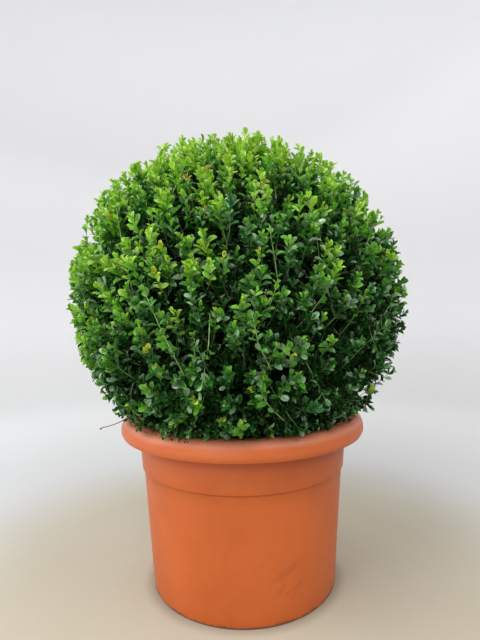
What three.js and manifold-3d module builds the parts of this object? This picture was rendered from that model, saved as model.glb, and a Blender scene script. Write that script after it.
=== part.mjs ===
import * as THREE from 'three';
import { mergeVertices } from 'three/addons/utils/BufferGeometryUtils.js';
import Module from 'manifold-3d';

// A clipped box ball in a round terracotta-coloured plastic pot.
// Millimetres, +Z up, origin on the floor at the middle of the pot's flat underside.
// The front, as photographed, faces -Y.

const wasm = await Module();
wasm.setup();

// Space left between neighbouring pieces
const gap = 0.3;

// Pot
const turnSegments = 60;
const potHeight = 330;
const baseRadius = 181;
const footRound = 2.5;
const bodyHeight = 231.5;
const bodyTopRadius = 196.3;
const wall = 4.5;
const floorThickness = 5;
const stepHeight = 2;
const stepDepth = 3.5;
const neckTopRadius = 205.5;

// Rolled rim, hollow under its skirt
const rimRadius = 238.5;
const rimWidestHeight = 304;
const rimCrestRadius = 216;
// The rim's outer corner: 2 would make it an ellipse, more makes it squarer
const rimSquareness = 2.6;
const skirtBottom = 297.5;
const skirtRoof = 314;
const skirtInnerRadius = 231;
const lipRound = 3;
const mouthRadius = 203;
const mouthRound = 5;

// Compost
const soilTop = 300;
const soilWave = 2;
const soilFlatRadius = 50;
const soilRings = [165, 130, 90, soilFlatRadius];

// Stem
const stemFoot = new THREE.Vector3(-3, 2, soilTop + gap);
const stemTip = new THREE.Vector3(-6, 1, 340);
const stemRadius = 19;
const stemTipRadius = 17;
const stemFlare = 11;
const flareLobes = 5;
const flareLobeDepth = 0.35;
const stemRoom = 55;

// Foliage ball
const ballCentre = new THREE.Vector3(-8, 0, 552);
const ballRadius = 321;
const ballRoughness = 6;
const coreRadius = 276;
const coreGrain = 12;
const coreBottom = 322;
const coreHollow = 34;
const coreHollowRadius = 150;
const coreDetail = 7;
const forkPoint = new THREE.Vector3(-8, 0, 400);

// Growth inside the ball: limbs of each order share its surface evenly
const seed = 15;
const boughCount = 12;
const boughReach = 0.5;
const lowestBough = -0.5;
const branchCount = 60;
const branchReach = 0.78;
const lowestBranch = -0.62;
const shootCount = 142;
const lowestShoot = -0.74;
const upturn = 0.35;
const wander = 0.2;
// Shoots this close above the rim don't turn up
const flatShootZone = 60;
const boughRadius = 9;
const branchRadius = 5;
const twigRadius = 3.2;
const twigTipRadius = 2.2;

// Leaves, larger than life because they are fewer. Width, thickness, widest place and lift
// are shares of the length.
const endLeafLength = 36;
const sideLeafLength = 50;
const leafWidth = 0.66;
const leafThickness = 0.036;
const leafWidest = 0.6;
const leafLift = 0.06;
const leafSpread = 0.98;
const leafSizeRange = 0.1;
const leafClearance = 2.5;
// Side leaves leave the twig through the middle of its flat sides
const sideLeafTurns = [Math.PI / 3, -Math.PI / 3];
const sideLeafStep = 4;
// Tips that would reach below the rim hang just inside the mouth instead
const mouthTipRadius = 195;

const goldenAngle = Math.PI * (3 - Math.sqrt(5));
const mergeDistance = 1e-4;
const up = new THREE.Vector3(0, 0, 1);

function seededRandom(start) {
  let state = start;
  return () => {
    state = (state * 1664525 + 1013904223) % 4294967296;
    return state / 4294967296;
  };
}

const random = seededRandom(seed);
const spread = (amount) => amount * (2 * random() - 1);

// Points of an elliptic arc in the plane of radius and height
function arc(centreRadius, centreHeight, radius, height, from, to, steps) {
  const points = [];
  for (let i = 0; i <= steps; i += 1) {
    const angle = from + ((to - from) * i) / steps;
    const x = centreRadius + radius * Math.cos(angle);
    const y = centreHeight + height * Math.sin(angle);
    points.push(new THREE.Vector2(x, y));
  }
  return points;
}

// A turned solid that stands along +Z
function turned(profile) {
  const geometry = new THREE.LatheGeometry(profile, turnSegments);
  geometry.rotateX(Math.PI / 2);
  return geometry;
}

function bodyRadius(height) {
  return THREE.MathUtils.lerp(baseRadius, bodyTopRadius, height / bodyHeight);
}

// Inside of the pot, straight from the top of the body to the neck
function innerRadius(height) {
  if (height <= bodyHeight) {
    return bodyRadius(height) - wall;
  }
  const share = (height - bodyHeight) / (skirtRoof - bodyHeight);
  return THREE.MathUtils.lerp(bodyRadius(bodyHeight), neckTopRadius, share) - wall;
}

const bodyHeights = [45, 95, 150, bodyHeight];
const innerHeights = [...bodyHeights, 262];

// The rim's rounded outer corner, from its widest place up to its crest
function rimCorner(steps) {
  const points = [];
  for (let i = 0; i <= steps; i += 1) {
    const angle = (Math.PI / 2) * (i / steps);
    const out = Math.cos(angle) ** (2 / rimSquareness);
    const rise = Math.sin(angle) ** (2 / rimSquareness);
    const radius = THREE.MathUtils.lerp(rimCrestRadius, rimRadius, out);
    points.push(new THREE.Vector2(radius, THREE.MathUtils.lerp(rimWidestHeight, potHeight, rise)));
  }
  return points;
}

function potGeometry() {
  const point = (radius, height) => new THREE.Vector2(radius, height);
  const profile = [
    point(0, 0),
    ...arc(baseRadius - footRound, footRound, footRound, footRound, -Math.PI / 2, 0, 3),
    ...bodyHeights.map((height) => point(bodyRadius(height), height)),
    point(bodyRadius(bodyHeight) + stepDepth, bodyHeight + stepHeight),
    point(neckTopRadius, skirtRoof),
    point(skirtInnerRadius - 1, skirtRoof),
    ...arc(skirtInnerRadius + lipRound, skirtBottom + lipRound, lipRound, lipRound,
      -Math.PI, -Math.PI / 3, 2),
    ...rimCorner(8),
    ...arc(mouthRadius + mouthRound, potHeight - mouthRound, mouthRound, mouthRound,
      Math.PI / 2, Math.PI, 2),
    point(innerRadius(soilTop), soilTop),
    ...innerHeights.toReversed().map((height) => point(innerRadius(height), height)),
    point(innerRadius(floorThickness), floorThickness),
    point(0, floorThickness),
  ];
  return turned(profile);
}

// Compost that fills the pot, with a gently uneven top that is level round the stem
function soilGeometry() {
  const edge = soilTop - soilWave;
  const bottom = floorThickness + gap;
  const profile = [
    new THREE.Vector2(0, bottom),
    new THREE.Vector2(innerRadius(bottom) - gap, bottom),
    ...innerHeights.map((height) => new THREE.Vector2(innerRadius(height) - gap, height)),
    new THREE.Vector2(innerRadius(edge) - gap, edge),
    ...soilRings.map((radius) => new THREE.Vector2(radius, soilTop)),
    new THREE.Vector2(0, soilTop),
  ];
  const geometry = turned(profile);
  const position = geometry.attributes.position;
  for (let i = 0; i < position.count; i += 1) {
    const x = position.getX(i);
    const y = position.getY(i);
    const radius = Math.hypot(x, y);
    const onTop = position.getZ(i) > soilTop - 0.01;
    if (onTop && radius > soilFlatRadius + 1) {
      position.setZ(i, soilTop + soilWave * Math.sin(x / 27) * Math.cos(y / 19));
    }
  }
  return geometry;
}

// An upright limb with level ends, whose rings shift sideways with its lean.
// radiusAt takes the share of the height and the angle round the limb.
function uprightLimb(foot, top, radiusAt, sides, steps) {
  const geometry = new THREE.CylinderGeometry(1, 1, 1, sides, steps);
  geometry.rotateX(Math.PI / 2);
  const position = geometry.attributes.position;
  for (let i = 0; i < position.count; i += 1) {
    const x = position.getX(i);
    const y = position.getY(i);
    const share = position.getZ(i) + 0.5;
    const radius = radiusAt(share, Math.atan2(y, x));
    const centre = foot.clone().lerp(top, share);
    position.setXYZ(i, centre.x + x * radius, centre.y + y * radius, centre.z);
  }
  return geometry;
}

// The short stem, cut flat on the compost, with its root flare
function stemGeometry() {
  const radiusAt = (share, angle) => {
    const flare = stemFlare * (1 - share) ** 4;
    const lobe = 1 + flareLobeDepth * Math.cos(flareLobes * angle);
    return THREE.MathUtils.lerp(stemRadius, stemTipRadius, share) + flare * lobe;
  };
  return uprightLimb(stemFoot, stemTip, radiusAt, 16, 6);
}

// Broad shallow lumps of the clipped surface, between -1 and 1
function lump(direction) {
  const { x, y, z } = direction;
  const broad = Math.sin(5.1 * x + 1.3) * Math.cos(4.3 * y - 0.4);
  const fine = Math.sin(9.7 * z + 2.2 * x) * Math.cos(8.3 * y + 0.9);
  return 0.6 * broad + 0.4 * fine;
}

// A value between -1 and 1 that belongs to a place on the ball
function grain(direction) {
  const [x, y, z] = direction.toArray().map((value) => Math.round(value * 1000));
  const wave = Math.abs(Math.sin(x * 12.9 + y * 78.2 + z * 37.7) * 43758.5);
  return 2 * (wave % 1) - 1;
}

// The dense inside of the foliage: rough all over, and hollow underneath round the stem
function coreGeometry() {
  const geometry = new THREE.IcosahedronGeometry(1, coreDetail);
  const position = geometry.attributes.position;
  const direction = new THREE.Vector3();
  for (let i = 0; i < position.count; i += 1) {
    direction.fromBufferAttribute(position, i).normalize();
    const rough = coreGrain * grain(direction);
    const reach = coreRadius + rough;
    const point = direction.clone().multiplyScalar(reach).add(ballCentre);
    const inwards = Math.max(0, 1 - (Math.hypot(point.x, point.y) / coreHollowRadius) ** 2);
    point.z = Math.max(point.z, coreBottom + coreHollow * inwards);
    position.setXYZ(i, point.x, point.y, point.z);
  }
  return geometry;
}

// Evenly shared directions from straight up down to the given height on a unit ball
function sharedDirections(count, lowest) {
  const directions = [];
  for (let i = 0; i < count; i += 1) {
    const z = 1 - ((1 - lowest) * (i + 0.5)) / count;
    const across = Math.sqrt(1 - z * z);
    const angle = i * goldenAngle;
    directions.push(new THREE.Vector3(across * Math.cos(angle), across * Math.sin(angle), z));
  }
  return directions;
}

function nearest(point, candidates) {
  const distances = candidates.map((candidate) => candidate.distanceToSquared(point));
  return candidates[distances.indexOf(Math.min(...distances))];
}

// Height of the rim's upper surface at a distance from the pot's axis
function rimSurface(radius) {
  if (radius < rimCrestRadius) {
    return potHeight;
  }
  const across = Math.min(1, (radius - rimCrestRadius) / (rimRadius - rimCrestRadius));
  const rise = (1 - across ** rimSquareness) ** (1 / rimSquareness);
  return THREE.MathUtils.lerp(rimWidestHeight, potHeight, rise);
}

// Whether a point stays off the pot, the compost and the stem
function isClear(point) {
  const radius = Math.hypot(point.x, point.y);
  if (radius < stemRoom) {
    return point.z > coreBottom + coreHollow;
  }
  if (radius < mouthRadius - leafClearance) {
    return point.z > soilTop + soilWave + leafClearance;
  }
  if (radius < rimRadius + leafClearance) {
    return point.z > rimSurface(radius) + leafClearance;
  }
  return true;
}

// A three-sided solid that closes to a point at both ends, with the given rings between
function spindle(root, rings, tip) {
  const geometry = new THREE.CylinderGeometry(0, 0, 1, 3, rings.length + 1);
  const { position, uv } = geometry.attributes;
  const levels = [[root, root, root], ...rings, [tip, tip, tip]];
  for (let i = 0; i < position.count; i += 1) {
    const level = Math.round(uv.getY(i) * (rings.length + 1));
    const corner = Math.round(uv.getX(i) * 3) % 3;
    const point = levels[level][corner];
    position.setXYZ(i, point.x, point.y, point.z);
  }
  return geometry;
}

// The three corners of a twig's section, the first of them on the side of its keel
function twigRing(centre, heading, keel, radius) {
  const across = new THREE.Vector3().crossVectors(heading, keel);
  return [0, 1, 2].map((corner) => {
    const angle = (corner * 2 * Math.PI) / 3;
    const point = centre.clone().addScaledVector(keel, radius * Math.cos(angle));
    return point.addScaledVector(across, radius * Math.sin(angle));
  });
}

// The widest section of a leaf: its keel below and its two raised sides
function leafRing(root, heading, keel, length) {
  const across = new THREE.Vector3().crossVectors(heading, keel);
  const centre = root.clone().addScaledVector(heading, leafWidest * length);
  const side = (sign) => (
    centre.clone().addScaledVector(across, (sign * length * leafWidth) / 2)
      .addScaledVector(keel, -length * leafLift)
  );
  return [centre.clone().addScaledVector(keel, length * leafThickness), side(1), side(-1)];
}

// A unit vector square to the heading, on the side of the wish
function squareTo(heading, wish) {
  return wish.clone().addScaledVector(heading, -wish.dot(heading)).normalize();
}

function limb(start, end, startRadius, endRadius) {
  const heading = end.clone().sub(start).normalize();
  const keel = squareTo(heading, Math.abs(heading.z) < 0.9 ? up : new THREE.Vector3(1, 0, 0));
  const inner = start.clone().addScaledVector(heading, -2 * startRadius);
  const outer = end.clone().addScaledVector(heading, 2 * endRadius);
  const rings = [
    twigRing(start, heading, keel, startRadius),
    twigRing(end, heading, keel, endRadius),
  ];
  return spindle(inner, rings, outer);
}

// Whether every corner of a solid, and the middle of every edge, is clear
function fits(geometry) {
  const { position, uv } = geometry.attributes;
  const corners = [];
  for (let i = 0; i < position.count; i += 1) {
    if (uv.getX(i) < 1) {
      corners.push(new THREE.Vector3().fromBufferAttribute(position, i));
    }
  }
  return corners.every((corner) => corners.every((other) => (
    isClear(corner.clone().lerp(other, 0.5))
  )));
}

// One shoot: a twig that ends in a leaf, with a leaf on each of two of its three sides
function addShoot(solids, start, tip, heading) {
  const size = 1 + spread(leafSizeRange);
  const neck = tip.clone().addScaledVector(heading, -endLeafLength * size);
  const turn = new THREE.Vector3(spread(1), spread(1), spread(1));
  const keel = squareTo(heading, turn);
  const along = neck.clone().sub(start).normalize();
  const twigKeel = squareTo(along, keel);
  const endLeaf = spindle(start.clone().addScaledVector(along, -2 * twigRadius), [
    twigRing(start, along, twigKeel, twigRadius),
    twigRing(neck, heading, keel, twigTipRadius),
    leafRing(neck, heading, keel, endLeafLength * size),
  ], tip);
  if (!fits(endLeaf)) {
    return;
  }
  solids.push(endLeaf);
  sideLeafTurns.forEach((angle, index) => {
    const root = neck.clone().addScaledVector(along, -sideLeafStep * (index + 1));
    const across = new THREE.Vector3().crossVectors(along, twigKeel);
    const outward = twigKeel.clone().multiplyScalar(Math.cos(angle));
    outward.addScaledVector(across, Math.sin(angle));
    const leafHeading = along.clone().multiplyScalar(Math.cos(leafSpread));
    leafHeading.addScaledVector(outward, Math.sin(leafSpread));
    const leafKeel = squareTo(leafHeading, along.clone().negate());
    const length = sideLeafLength * size;
    const leafTip = root.clone().addScaledVector(leafHeading, length);
    const leaf = spindle(root, [leafRing(root, leafHeading, leafKeel, length)], leafTip);
    if (fits(leaf)) {
      solids.push(leaf);
    }
  });
}

function toManifold(geometry) {
  const bare = geometry.clone();
  bare.deleteAttribute('normal');
  bare.deleteAttribute('uv');
  const merged = mergeVertices(bare, mergeDistance);
  return new wasm.Manifold(new wasm.Mesh({
    numProp: 3,
    vertProperties: new Float32Array(merged.attributes.position.array),
    triVerts: new Uint32Array(merged.index.array),
  }));
}

function toGeometry(solid) {
  const mesh = solid.getMesh();
  const geometry = new THREE.BufferGeometry();
  geometry.setAttribute('position', new THREE.BufferAttribute(mesh.vertProperties, 3));
  geometry.setIndex(new THREE.BufferAttribute(mesh.triVerts, 1));
  geometry.computeVertexNormals();
  return geometry;
}

// Shoots that stand out of the clipped outline, each from its root to its tip
const strays = [
  { from: [196, -40, 380], to: [252, -44, 338] },
  { from: [-100, -150, 365], to: [-121, -199, 333] },
  { from: [30, -170, 365], to: [45, -212, 337] },
  { from: [-225, 15, 610], to: [-334, 8, 571] },
  { from: [-60, 0, 800], to: [-71, -8, 879] },
];

// The dead twig that hangs out over the rim at the lower left, from root to end
const deadTwig = [[-140, -70, 385], [-203, -100, 343.5], [-249, -118, 328.5]];
const deadTwigRadius = 2.2;
const deadTwigScrap = 9;

function foliageGeometry() {
  const solids = [coreGeometry()];
  const stubFoot = new THREE.Vector3(stemTip.x, stemTip.y, stemTip.z + gap);
  solids.push(uprightLimb(stubFoot, forkPoint, () => stemTipRadius, 10, 1));

  const ballPoint = (direction, share) => (
    direction.clone().multiplyScalar(ballRadius * share).add(ballCentre)
  );
  const boughEnds = sharedDirections(boughCount, lowestBough).map((direction) => {
    const end = ballPoint(direction, boughReach);
    solids.push(limb(forkPoint, end, boughRadius, branchRadius));
    return end;
  });
  const branchEnds = sharedDirections(branchCount, lowestBranch).map((direction) => {
    const end = ballPoint(direction, branchReach);
    const start = nearest(end, boughEnds);
    solids.push(limb(start, end, branchRadius, twigRadius));
    return end;
  });
  for (const direction of sharedDirections(shootCount, lowestShoot)) {
    const reach = ballRadius + ballRoughness * lump(direction) + spread(ballRoughness / 2);
    const tip = ballPoint(direction, reach / ballRadius);
    const lift = tip.z < potHeight + flatShootZone ? 0 : upturn;
    const heading = direction.clone().addScaledVector(up, lift);
    heading.add(new THREE.Vector3(spread(wander), spread(wander), spread(wander))).normalize();
    if (tip.z < potHeight + leafClearance) {
      const inwards = mouthTipRadius / Math.hypot(tip.x, tip.y);
      tip.x *= inwards;
      tip.y *= inwards;
    }
    addShoot(solids, nearest(tip, branchEnds), tip, heading);
  }
  for (const stray of strays) {
    const start = new THREE.Vector3(...stray.from);
    const tip = new THREE.Vector3(...stray.to);
    const heading = tip.clone().sub(start).normalize();
    addShoot(solids, start, tip, heading);
  }

  const twigPoints = deadTwig.map((point) => new THREE.Vector3(...point));
  for (let i = 1; i < twigPoints.length; i += 1) {
    solids.push(limb(twigPoints[i - 1], twigPoints[i], deadTwigRadius, deadTwigRadius));
  }
  const scrap = new THREE.OctahedronGeometry(deadTwigScrap / 2);
  scrap.scale(1, 0.6, 0.6);
  scrap.translate(...deadTwig.at(-1));
  solids.push(scrap);

  // Joined, then loose scraps are dropped and sealed hollows filled with the outer skin kept
  const joined = wasm.Manifold.union(solids.map(toManifold));
  const pieces = joined.decompose();
  pieces.sort((first, second) => second.volume() - first.volume());
  return toGeometry(pieces[0]);
}

function named(name, geometry, color, roughness) {
  const material = new THREE.MeshStandardMaterial({ color, roughness, metalness: 0 });
  const mesh = new THREE.Mesh(geometry, material);
  mesh.name = name;
  return mesh;
}

const plant = new THREE.Group();
plant.add(named('pot', potGeometry(), '#c56332', 0.5));
plant.add(named('potting_soil', soilGeometry(), '#2b211a', 0.95));
plant.add(named('main_stem', stemGeometry(), '#8a7a5c', 0.85));
plant.add(named('foliage_ball', foliageGeometry(), '#3f7a26', 0.45));

export default plant;
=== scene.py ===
from collections import namedtuple
import math

import bpy
import numpy as np
from mathutils import Matrix, Vector, noise


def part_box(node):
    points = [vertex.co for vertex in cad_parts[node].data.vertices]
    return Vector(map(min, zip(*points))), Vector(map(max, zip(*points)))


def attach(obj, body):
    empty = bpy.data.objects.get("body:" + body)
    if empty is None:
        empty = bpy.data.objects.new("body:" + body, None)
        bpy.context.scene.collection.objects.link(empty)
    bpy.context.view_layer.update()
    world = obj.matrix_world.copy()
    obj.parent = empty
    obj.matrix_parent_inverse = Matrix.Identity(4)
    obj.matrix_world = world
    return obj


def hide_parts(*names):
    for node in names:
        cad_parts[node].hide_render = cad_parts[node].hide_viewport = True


# A clipped box ball in a round terracotta-coloured plastic pot.
# Metres, +Z up, origin on the floor at the middle of the pot's underside, front towards -Y.
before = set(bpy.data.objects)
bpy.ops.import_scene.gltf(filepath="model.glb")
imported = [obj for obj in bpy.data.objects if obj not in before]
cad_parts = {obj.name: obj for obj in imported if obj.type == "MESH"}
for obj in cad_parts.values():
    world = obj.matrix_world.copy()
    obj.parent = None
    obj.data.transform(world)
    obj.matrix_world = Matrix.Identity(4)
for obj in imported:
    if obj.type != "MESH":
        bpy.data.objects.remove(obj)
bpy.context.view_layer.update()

# Pot
POT_SEGMENTS = 160
POT_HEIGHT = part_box("pot")[1].z
BASE_RADIUS = 0.181
FOOT_ROUND = 0.0025
BODY_HEIGHT = 0.2315
BODY_TOP_RADIUS = 0.1963
WALL = 0.0045
FLOOR_THICKNESS = 0.005
STEP_HEIGHT = 0.002
STEP_DEPTH = 0.0035
NECK_TOP_RADIUS = 0.2055
RIM_RADIUS = 0.2385
RIM_WIDEST_HEIGHT = 0.304
RIM_CREST_RADIUS = 0.216
RIM_SQUARENESS = 2.6
SKIRT_BOTTOM = 0.2975
SKIRT_ROOF = 0.314
SKIRT_INNER_RADIUS = 0.231
LIP_ROUND = 0.003
MOUTH_RADIUS = 0.203
MOUTH_ROUND = 0.005
SMALL_FILLET = 0.0005
INNER_LEVELS = (0.045, 0.095, 0.15, BODY_HEIGHT, 0.262)
SMUDGE_PLACE = (0.077, -0.170, 0.082)
SMUDGE_REACH = 0.048

# Compost
SOIL_TOP = 0.300
SOIL_WAVE = 0.002
SOIL_FLAT_RADIUS = 0.050
SOIL_ROUGHNESS = 0.0025
SOIL_CLEARANCE = 0.0003
SOIL_RINGS = 52
CRUMBS = 2600
CRUMB_SIZES = (0.0012, 0.0045)
RIM_CRUMBS = 110
RIM_CRUMB_SIZES = (0.0007, 0.0031)
RIM_CRUMB_ANGLE = -127
RIM_CRUMB_SPREADS = (9, 60)
RIM_CRUMB_RING = (0.2055, 0.026)

# Stem
STEM_FOOT = Vector((-0.003, 0.002, 0.3003))
STEM_TIP = Vector((-0.006, 0.001, 0.340))
STEM_RADIUS = 0.019
STEM_TIP_RADIUS = 0.017
STEM_FLARE = 0.011
STEM_RELIEF = 0.0011
STEM_ROOM = 0.055
STEM_CUTS = 24
TRUNK_MIDDLE = np.array([[-0.0075, 0.0, 0.37]])
TRUNK_TIP_RADIUS = 0.0145
TRUNK_STEPS = 12

# Foliage ball and its growth, the same rule as in the solids, carried on to finer twigs
BALL_CENTRE = np.array([-0.008, 0.0, 0.552])
BALL_RADIUS = 0.321
BALL_ROUGHNESS = 0.006
TIP_SHORTFALL = 0.003
FORK_POINT = np.array([-0.008, 0.0, 0.400])
STEM_HOLLOW_TOP = 0.356
# Reach is a share of the ball's radius, lowest is the height of the lowest heading on a unit ball
Limbs = namedtuple("Limbs", "count reach lowest radii sag steps sides relief")
BOUGHS = Limbs(12, 0.5, -0.5, (0.009, 0.0052), 0.012, 14, 16, 0.05)
BRANCHES = Limbs(60, 0.76, -0.66, (0.0048, 0.003), 0.008, 9, 9, 0.05)
TWIGS = Limbs(900, 0.86, -0.80, (0.0019, 0.0011), 0.006, 6, 5, 0.0)
BOUGH_LIFT = 0.012
SHOOT_RADII = (0.0009, 0.0004)
SHOOT_STEPS = 7
LONG_SHOOTS = 140
FRINGE_SHOOTS = 320
LEAF_CLEARANCE = 0.0015
LEAF_LENGTH = 0.0146
LONG_SHOOT_LEAF = 0.95 * LEAF_LENGTH
ACCENT_LEAF = 0.94 * LEAF_LENGTH
STRAY_LEAF = 0.8 * LEAF_LENGTH
LEAF_WIDTH = 0.53
LEAF_TILES = 8
LEAF_MAP = "OFBake"
MOST_LEAVES = 13500
GOLDEN_ANGLE = math.pi * (3 - math.sqrt(5))
UP = np.array([0.0, 0.0, 1.0])
SEED = 15

random = np.random.default_rng(SEED)


def spread(amount, *shape):
    """Even random values between minus and plus the amount."""
    return amount * (2 * random.random(shape) - 1)


def unit(vectors):
    """The rows of an array, each at length one."""
    return vectors / np.linalg.norm(vectors, axis=-1, keepdims=True)


# Finishes


class Wire:
    """An output of a finish's nodes. Python arithmetic on it adds Math nodes."""

    def __init__(self, finish, socket):
        self.finish = finish
        self.socket = socket

    def math(self, operation, *values):
        return self.finish.node("ShaderNodeMath", {"operation": operation}, dict(enumerate(values)))

    def __abs__(self):
        return self.math("ABSOLUTE", self)

    def __add__(self, other):
        return self.math("ADD", self, other)

    __radd__ = __add__

    def __sub__(self, other):
        return self.math("SUBTRACT", self, other)

    def __rsub__(self, other):
        return self.math("SUBTRACT", other, self)

    def __mul__(self, other):
        return self.math("MULTIPLY", self, other)

    __rmul__ = __mul__


class Finish:
    """A material that is built up from its Principled shader."""

    def __init__(self, name, **constants):
        self.material = bpy.data.materials.new(name)
        self.material.use_nodes = True
        self.tree = self.material.node_tree
        self.shader = self.tree.nodes["Principled BSDF"]
        for socket, value in constants.items():
            self.set(socket.replace("_", " "), value)

    def node(self, kind, settings=(), inputs=(), output=0):
        """Adds any node: its settings first, then the values or links of its sockets."""
        made = self.tree.nodes.new(kind)
        for name, value in dict(settings).items():
            setattr(made, name, value)
        for key, value in dict(inputs).items():
            self.feed(made.inputs[key], value)
        return Wire(self, made.outputs[output])

    def feed(self, socket, value):
        if isinstance(value, Wire):
            self.tree.links.new(value.socket, socket)
        else:
            socket.default_value = value

    def set(self, socket, value):
        """Gives one of the shader's own sockets a value or a link."""
        self.feed(self.shader.inputs[socket], value)

    def place(self):
        return self.node("ShaderNodeTexCoord", output="Object")

    def moved(self, shift=(0, 0, 0), scale=(1, 1, 1), turn=(0, 0, 0)):
        """Object coordinates, first turned, then scaled and shifted."""
        turned = self.node("ShaderNodeMapping", {}, {"Vector": self.place(), "Rotation": turn})
        return self.node("ShaderNodeMapping", {}, {"Vector": turned, "Location": shift, "Scale": scale})

    def vector(self, operation, *values, output="Vector"):
        return self.node("ShaderNodeVectorMath", {"operation": operation}, dict(enumerate(values)), output)

    def axis(self, vector, name):
        return self.node("ShaderNodeSeparateXYZ", {}, {0: vector}, name)

    def noise(self, size, detail=3.0, roughness=0.5, **placing):
        """Cloudy values from 0 to 1, about the given size in metres across."""
        pattern = {"Scale": 1 / size, "Detail": detail, "Roughness": roughness}
        return self.node("ShaderNodeTexNoise", {}, {"Vector": self.moved(**placing), **pattern})

    def stretch(self, value, low, high, to_low=0.0, to_high=1.0):
        """The value where it runs from low to high, taken smoothly to another range."""
        settings = {"interpolation_type": "SMOOTHSTEP"}
        inputs = {0: value, 1: low, 2: high, 3: to_low, 4: to_high}
        return self.node("ShaderNodeMapRange", settings, inputs)

    def mix(self, share, first, second):
        """Two colours mixed by a share."""
        inputs = {0: share, 6: opaque(first), 7: opaque(second)}
        return self.node("ShaderNodeMix", {"data_type": "RGBA"}, inputs, output=2)

    def bump(self, height, distance, strength=1.0):
        return self.node("ShaderNodeBump", {}, {"Height": height, "Distance": distance, "Strength": strength})

    def let_light_through(self, share, colour):
        """A thin leaf passes some of the light that falls on its other side."""
        glow = self.node("ShaderNodeBsdfTranslucent", {}, {"Color": opaque(colour)})
        skin = Wire(self, self.shader.outputs[0])
        both = self.node("ShaderNodeMixShader", {}, {0: share, 1: skin, 2: glow})
        self.feed(self.tree.nodes["Material Output"].inputs["Surface"], both)


def opaque(colour):
    """A colour with full alpha, or a link to a colour as it is."""
    return colour if isinstance(colour, Wire) else (*colour, 1.0)


def pot_finish():
    """Satin moulded plastic: faint mottling, a faint rubbed mark low on the right, grime at the foot, painted
    sheen and shade.
    """
    finish = Finish("terracotta_plastic", Specular_IOR_Level=0.38)
    broad = finish.stretch(finish.noise(0.16, 2.0), 0.35, 0.65)
    fine = finish.stretch(finish.noise(0.018, 4.0, 0.6), 0.35, 0.7)
    colour = finish.mix(broad, (0.41, 0.080, 0.012), (0.46, 0.094, 0.016))
    colour = finish.mix(fine * 0.12, colour, (0.53, 0.14, 0.032))
    distance = finish.vector("DISTANCE", finish.place(), SMUDGE_PLACE, output="Value")
    near = finish.stretch(distance, SMUDGE_REACH, 0.02)
    streak = finish.noise(0.013, 5.0, 0.6, scale=(1, 1, 0.28), turn=(0, -0.75, 0))
    smudge = finish.stretch(streak, 0.48, 0.64) * near
    colour = finish.mix(smudge * 0.42, colour, (0.31, 0.060, 0.013))
    marks = finish.stretch(finish.noise(0.007, 3.0, 0.7, shift=(3, 1, 2)), 0.68, 0.78)
    colour = finish.mix(marks * 0.14, colour, (0.34, 0.075, 0.018))
    height = finish.axis(finish.place(), "Z")
    # Painted sheen: the top of the rim is paler
    crest = finish.stretch(height, POT_HEIGHT - 0.014, POT_HEIGHT - 0.003)
    colour = finish.mix(crest * 0.6, colour, (0.50, 0.22, 0.14))
    # Painted shade: a darker band on the neck under the rim
    on_neck = height.math("LESS_THAN", height, SKIRT_BOTTOM - 0.001)
    painted_shade_under_rim = finish.stretch(height, SKIRT_BOTTOM - 0.032, SKIRT_BOTTOM - 0.009) * on_neck
    colour = finish.mix(painted_shade_under_rim * 0.55, colour, (0.25, 0.026, 0.001))
    # Painted shade: a thin dark line in the step
    painted_shade_in_step = finish.stretch(abs(height - (BODY_HEIGHT + 0.0006)), 0.0024, 0.0008)
    colour = finish.mix(painted_shade_in_step * 0.6, colour, (0.27, 0.040, 0.005))
    # Darker and rougher at the foot: partly grime, partly painted contact shade
    foot_grime_and_shade = finish.stretch(height + 0.004 * fine, 0.0085, 0.0020)
    colour = finish.mix(foot_grime_and_shade * 0.8, colour, (0.09, 0.043, 0.020))
    finish.set("Base Color", colour)
    finish.set("Roughness", 0.40 + 0.10 * fine + 0.15 * smudge + 0.3 * foot_grime_and_shade)
    skin = finish.noise(0.0016, 2.0)
    waves = finish.noise(0.045, 2.0)
    finish.set("Normal", finish.bump(skin * 0.12 + waves, 0.0012, 0.35))
    return finish.material


def soil_finish():
    """Dark moist compost with paler fibres."""
    finish = Finish("moist_compost")
    lumps = finish.noise(0.009, 5.0, 0.65)
    fibre = finish.stretch(finish.noise(0.004, 4.0, 0.7, scale=(1, 3, 1)), 0.62, 0.72)
    colour = finish.mix(lumps, (0.008, 0.006, 0.005), (0.035, 0.024, 0.017))
    finish.set("Base Color", finish.mix(fibre * 0.6, colour, (0.11, 0.07, 0.04)))
    finish.set("Roughness", 0.75 + 0.2 * lumps)
    finish.set("Normal", finish.bump(lumps, 0.003))
    return finish.material


def bark_finish(name, dark, pale, size):
    """Bark with furrows along the limb's height and greenish flecks."""
    finish = Finish(name)
    furrow = finish.noise(size, 5.0, 0.6, scale=(1, 1, 0.22))
    fleck = finish.stretch(finish.noise(size * 2.6, 3.0), 0.52, 0.68)
    colour = finish.mix(finish.stretch(furrow, 0.36, 0.62), dark, pale)
    finish.set("Base Color", finish.mix(fleck * 0.35, colour, (0.13, 0.15, 0.06)))
    finish.set("Roughness", 0.72 + 0.2 * furrow)
    finish.set("Normal", finish.bump(furrow, size * 0.3))
    return finish.material


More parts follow.
